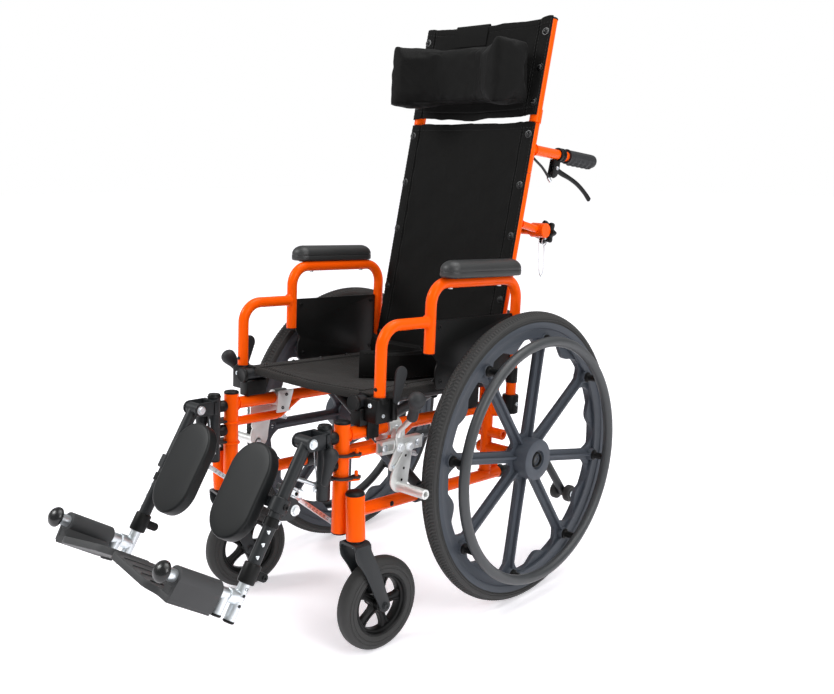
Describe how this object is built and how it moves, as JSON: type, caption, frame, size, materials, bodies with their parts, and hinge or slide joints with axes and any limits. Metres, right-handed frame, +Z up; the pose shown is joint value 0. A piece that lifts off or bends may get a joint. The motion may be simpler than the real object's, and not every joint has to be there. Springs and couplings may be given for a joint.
{
  "type": "reclining wheelchair",
  "caption": "Folding-frame reclining wheelchair with spoked mag wheels, swivel casters, elevating legrests, calf pads, padded armrests and a winged head cushion.",
  "frame": {"origin": "on the ground under the middle of the bounding box", "axes": "+Z up; the sitter faces -Y; +X is the sitter's left"},
  "size_m": [0.653, 1.1984, 1.2088],
  "materials": {
    "frame": "bright orange gloss powder coat",
    "black_steel": "satin black powder coat on steel",
    "grip": "moulded black plastic",
    "grey_nylon": "charcoal moulded nylon",
    "tyre": "solid polyurethane tread",
    "fabric": "black woven nylon",
    "padding": "moulded polyurethane skin",
    "panel": "black moulded plastic sheet",
    "zinc": "bright zinc plating",
    "alloy": "satin aluminium",
    "footplate": "charcoal moulded composite"
  },
  "bodies": {
    "chassis": {"left_side_frame": "frame", "right_side_frame": "frame", "left_brace": "black_steel", "right_brace": "black_steel", "seat_sling": "fabric", "lap_belt": "fabric", "left_arm_socket": "panel", "right_arm_socket": "panel", "left_lock_bracket": "alloy", "right_lock_bracket": "alloy"},
    "back": {"left_back_tube": "frame", "right_back_tube": "frame", "back_sling": "fabric", "spreader_bar": "black_steel", "left_grip": "grip", "right_grip": "grip"},
    "headrest": {"left_headrest_tube": "frame", "right_headrest_tube": "frame", "headrest_sling": "fabric", "head_cushion": "fabric"},
    "left_recline_lever": {"left_recline_lever": "grip"},
    "left_strut_rod": {"left_strut_rod": "zinc"},
    "left_strut_cylinder": {"left_strut_cylinder": "black_steel"},
    "left_wheel": {"left_tyre": "tyre", "left_rim": "grey_nylon", "left_handrim": "grey_nylon"},
    "left_caster_fork": {"left_caster_fork": "black_steel"},
    "left_caster_wheel": {"left_caster_wheel": "tyre"},
    "left_armrest": {"left_arm_frame": "frame", "left_arm_pad": "padding", "left_side_panel": "panel"},
    "left_lock_lever": {"left_lock_lever": "alloy"},
    "left_lock_shoe": {"left_lock_shoe": "alloy"},
    "left_hanger": {"left_hanger": "black_steel"},
    "left_leg_tube": {"left_leg_tube": "black_steel"},
    "left_leg_strut": {"left_leg_strut": "zinc"},
    "left_leg_slide": {"left_leg_slide": "zinc"},
    "left_footplate": {"left_footplate": "footplate"},
    "left_calf_pad": {"left_calf_pad": "padding"},
    "left_tip_rollers": {"left_tip_rollers": "grey_nylon"},
    "right_recline_lever": {"right_recline_lever": "grip"},
    "right_strut_rod": {"right_strut_rod": "zinc"},
    "right_strut_cylinder": {"right_strut_cylinder": "black_steel"},
    "right_wheel": {"right_tyre": "tyre", "right_rim": "grey_nylon", "right_handrim": "grey_nylon"},
    "right_caster_fork": {"right_caster_fork": "black_steel"},
    "right_caster_wheel": {"right_caster_wheel": "tyre"},
    "right_armrest": {"right_arm_frame": "frame", "right_arm_pad": "padding", "right_side_panel": "panel"},
    "right_lock_lever": {"right_lock_lever": "alloy"},
    "right_lock_shoe": {"right_lock_shoe": "alloy"},
    "right_hanger": {"right_hanger": "black_steel"},
    "right_leg_tube": {"right_leg_tube": "black_steel"},
    "right_leg_strut": {"right_leg_strut": "zinc"},
    "right_leg_slide": {"right_leg_slide": "zinc"},
    "right_footplate": {"right_footplate": "footplate"},
    "right_calf_pad": {"right_calf_pad": "padding"},
    "right_tip_rollers": {"right_tip_rollers": "grey_nylon"}
  },
  "joints": [
    {"name": "back_recline", "type": "hinge", "parent": "chassis", "child": "back", "pos_m": [0, 0.2318, 0.44672], "axis": [-1, 0, 0], "range_deg": [0, 75]},
    {"name": "headrest_height", "type": "slide", "parent": "back", "child": "headrest", "axis": [0, 0.2487, 0.9686], "range_m": [0, 0.05]},
    {"name": "left_recline_lever_squeeze", "type": "hinge", "parent": "back", "child": "left_recline_lever", "pos_m": [0.168, 0.44783, 0.89405], "axis": [1, 0, 0], "range_deg": [0, 13], "stiffness_Nm_per_rad": 1},
    {"name": "left_strut_swing", "type": "hinge", "parent": "chassis", "child": "left_strut_rod", "pos_m": [0.142, 0.25867, 0.26681], "axis": [-1, 0, 0], "range_deg": [0, 36]},
    {"name": "left_strut_stroke", "type": "slide", "parent": "left_strut_rod", "child": "left_strut_cylinder", "axis": [0, 0.108, 0.9942], "range_m": [-0.132, 0]},
    {"name": "left_wheel_spin", "type": "hinge", "parent": "chassis", "child": "left_wheel", "pos_m": [0.268, 0.22287, 0.305], "axis": [1, 0, 0], "continuous": true},
    {"name": "left_caster_swivel", "type": "hinge", "parent": "chassis", "child": "left_caster_fork", "pos_m": [0.206, -0.20112, 0.231], "axis": [0, 0, 1], "continuous": true},
    {"name": "left_caster_spin", "type": "hinge", "parent": "left_caster_fork", "child": "left_caster_wheel", "pos_m": [0.2095, -0.15125, 0.0906], "axis": [0.9976, -0.0699, 0], "continuous": true},
    {"name": "left_armrest_lift", "type": "slide", "parent": "chassis", "child": "left_armrest", "axis": [0, 0.0593, 0.9982], "range_m": [0, 0.06]},
    {"name": "left_lock_lever_swing", "type": "hinge", "parent": "chassis", "child": "left_lock_lever", "pos_m": [0.209, -0.08673, 0.3815], "axis": [-1, 0, 0], "range_deg": [0, 30]},
    {"name": "left_lock_shoe_swing", "type": "hinge", "parent": "chassis", "child": "left_lock_shoe", "pos_m": [0.213, -0.06667, 0.3803], "axis": [1, 0, 0], "range_deg": [0, 4.5]},
    {"name": "left_hanger_swing_away", "type": "hinge", "parent": "chassis", "child": "left_hanger", "pos_m": [0.188, -0.17871, 0.38295], "axis": [0, 0.0593, 0.9982], "range_deg": [0, 90]},
    {"name": "left_leg_elevation", "type": "hinge", "parent": "left_hanger", "child": "left_leg_tube", "pos_m": [0.172, -0.2842, 0.42669], "axis": [-1, 0, 0], "range_deg": [0, 57]},
    {"name": "left_leg_strut_swing", "type": "hinge", "parent": "left_leg_tube", "child": "left_leg_strut", "pos_m": [0.139, -0.3101, 0.33836], "axis": [-1, 0, 0], "range_deg": [-56, 0]},
    {"name": "left_leg_length", "type": "slide", "parent": "left_leg_tube", "child": "left_leg_slide", "axis": [0, -0.5505, -0.8348], "range_m": [0, 0.06]},
    {"name": "left_footplate_flip", "type": "hinge", "parent": "left_leg_slide", "child": "left_footplate", "pos_m": [0.172, -0.52512, 0.24297], "axis": [0, 0.8348, -0.5505], "range_deg": [0, 90]},
    {"name": "left_calf_pad_swing", "type": "hinge", "parent": "left_leg_tube", "child": "left_calf_pad", "pos_m": [0.172, -0.34916, 0.32817], "axis": [0, 0.5505, 0.8348], "range_deg": [0, 100]},
    {"name": "left_tip_roller_spin", "type": "hinge", "parent": "chassis", "child": "left_tip_rollers", "pos_m": [0.168, 0.51685, 0.12725], "axis": [1, 0, 0], "continuous": true},
    {"name": "right_recline_lever_squeeze", "type": "hinge", "parent": "back", "child": "right_recline_lever", "pos_m": [-0.168, 0.44783, 0.89405], "axis": [1, 0, 0], "range_deg": [0, 13], "stiffness_Nm_per_rad": 1},
    {"name": "right_strut_swing", "type": "hinge", "parent": "chassis", "child": "right_strut_rod", "pos_m": [-0.142, 0.25867, 0.26681], "axis": [-1, 0, 0], "range_deg": [0, 36]},
    {"name": "right_strut_stroke", "type": "slide", "parent": "right_strut_rod", "child": "right_strut_cylinder", "axis": [0, 0.108, 0.9942], "range_m": [-0.132, 0]},
    {"name": "right_wheel_spin", "type": "hinge", "parent": "chassis", "child": "right_wheel", "pos_m": [-0.268, 0.22287, 0.305], "axis": [1, 0, 0], "continuous": true},
    {"name": "right_caster_swivel", "type": "hinge", "parent": "chassis", "child": "right_caster_fork", "pos_m": [-0.206, -0.20112, 0.231], "axis": [0, 0, 1], "continuous": true},
    {"name": "right_caster_spin", "type": "hinge", "parent": "right_caster_fork", "child": "right_caster_wheel", "pos_m": [-0.19533, -0.15228, 0.0906], "axis": [0.977, -0.2133, 0], "continuous": true},
    {"name": "right_armrest_lift", "type": "slide", "parent": "chassis", "child": "right_armrest", "axis": [0, 0.0593, 0.9982], "range_m": [0, 0.06]},
    {"name": "right_lock_lever_swing", "type": "hinge", "parent": "chassis", "child": "right_lock_lever", "pos_m": [-0.209, -0.08673, 0.3815], "axis": [-1, 0, 0], "range_deg": [0, 30]},
    {"name": "right_lock_shoe_swing", "type": "hinge", "parent": "chassis", "child": "right_lock_shoe", "pos_m": [-0.213, -0.06667, 0.3803], "axis": [1, 0, 0], "range_deg": [0, 4.5]},
    {"name": "right_hanger_swing_away", "type": "hinge", "parent": "chassis", "child": "right_hanger", "pos_m": [-0.188, -0.17871, 0.38295], "axis": [0, -0.0593, -0.9982], "range_deg": [0, 90]},
    {"name": "right_leg_elevation", "type": "hinge", "parent": "right_hanger", "child": "right_leg_tube", "pos_m": [-0.172, -0.2842, 0.42669], "axis": [-1, 0, 0], "range_deg": [0, 57]},
    {"name": "right_leg_strut_swing", "type": "hinge", "parent": "right_leg_tube", "child": "right_leg_strut", "pos_m": [-0.139, -0.3101, 0.33836], "axis": [-1, 0, 0], "range_deg": [-56, 0]},
    {"name": "right_leg_length", "type": "slide", "parent": "right_leg_tube", "child": "right_leg_slide", "axis": [0, -0.5505, -0.8348], "range_m": [0, 0.06]},
    {"name": "right_footplate_flip", "type": "hinge", "parent": "right_leg_slide", "child": "right_footplate", "pos_m": [-0.172, -0.52512, 0.24297], "axis": [0, -0.8348, 0.5505], "range_deg": [0, 90]},
    {"name": "right_calf_pad_swing", "type": "hinge", "parent": "right_leg_tube", "child": "right_calf_pad", "pos_m": [-0.172, -0.34916, 0.32817], "axis": [0, -0.5505, -0.8348], "range_deg": [0, 100]},
    {"name": "right_tip_roller_spin", "type": "hinge", "parent": "chassis", "child": "right_tip_rollers", "pos_m": [-0.168, 0.51685, 0.12725], "axis": [1, 0, 0], "continuous": true}
  ],
  "couplings": [
    {"joint": "left_strut_swing", "follows": "back_recline", "ratio": 0.42741},
    {"joint": "left_strut_stroke", "follows": "back_recline", "m_per_rad": -0.092885},
    {"joint": "left_lock_shoe_swing", "follows": "left_lock_lever_swing", "ratio": 0.135},
    {"joint": "left_leg_strut_swing", "follows": "left_leg_elevation", "ratio": -0.96},
    {"joint": "right_strut_swing", "follows": "back_recline", "ratio": 0.42741},
    {"joint": "right_strut_stroke", "follows": "back_recline", "m_per_rad": -0.092885},
    {"joint": "right_lock_shoe_swing", "follows": "right_lock_lever_swing", "ratio": 0.135},
    {"joint": "right_leg_strut_swing", "follows": "right_leg_elevation", "ratio": -0.96}
  ]
}
